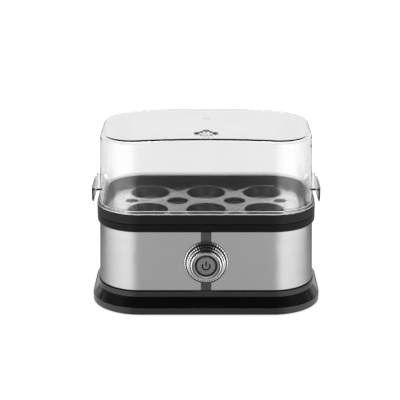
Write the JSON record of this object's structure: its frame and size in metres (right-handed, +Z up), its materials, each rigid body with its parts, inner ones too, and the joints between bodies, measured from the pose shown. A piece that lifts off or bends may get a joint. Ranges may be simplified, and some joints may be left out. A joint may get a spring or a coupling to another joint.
{
  "type": "electric egg cooker",
  "caption": "Countertop electric egg steamer: flared base, brushed steel wrap with push button, black egg tray with tapered cups, clear lift-off lid with side grips.",
  "frame": {"origin": "on the surface that the feet stand on, under the middle of the object's box", "axes": "+X to the right seen from the front, +Y from the front to the back, +Z up; the button faces -Y"},
  "size_m": [0.2104, 0.1379, 0.1627],
  "materials": {
    "black_plastic": "satin moulded",
    "brushed_wrap": "horizontal brushed grain",
    "strip_grey": "fine satin",
    "chrome": "polished",
    "button_grey": "satin",
    "clear_plastic": "clear polished",
    "rubber": "matte",
    "silicone": "matte",
    "dish_steel": "drawn stainless",
    "aluminium": "turned",
    "element_steel": "heat-darkened",
    "zinc_steel": "zinc plated",
    "white_plastic": "moulded",
    "dark_plastic": "moulded",
    "wire_brown": "insulation",
    "wire_blue": "insulation",
    "wire_green": "insulation"
  },
  "bodies": {
    "base": {"base_plinth": "black_plastic", "steel_shell": "brushed_wrap", "front_strip": "strip_grey", "button_bezel": "chrome", "button_sleeve": "black_plastic", "upper_collar": "black_plastic", "heating_dish": "dish_steel", "plate_seal": "silicone", "heat_spreader": "aluminium", "heating_element": "element_steel", "clamp_bar": "zinc_steel", "clamp_nuts": "zinc_steel", "thermostat": "dark_plastic", "thermal_fuse": "white_plastic", "fuse_clip": "zinc_steel", "switch_body": "dark_plastic", "switch_screws": "zinc_steel", "terminal_block": "white_plastic", "block_screws": "zinc_steel", "cord_clamp": "dark_plastic", "clamp_screws": "zinc_steel", "cord_gland": "rubber", "base_screws": "zinc_steel", "foot_front_left": "rubber", "foot_front_right": "rubber", "foot_rear_left": "rubber", "foot_rear_right": "rubber", "switch_feed_wire": "wire_brown", "element_feed_wire": "wire_brown", "element_return_wire": "wire_blue", "earth_wire": "wire_green"},
    "egg_tray": {"egg_tray": "black_plastic"},
    "lid": {"lid": "clear_plastic"},
    "power_button": {"power_button": "button_grey", "switch_plunger": "white_plastic"}
  },
  "joints": [
    {"name": "tray_lift", "type": "slide", "parent": "base", "child": "egg_tray", "axis": [0, 0, 1], "range_m": [0, 0.06]},
    {"name": "lid_lift", "type": "slide", "parent": "egg_tray", "child": "lid", "axis": [0, 0, 1], "range_m": [0, 0.12]},
    {"name": "button_press", "type": "slide", "parent": "base", "child": "power_button", "axis": [0, 1, 0], "range_m": [0, 0.0025], "stiffness_N_per_m": 1000}
  ]
}
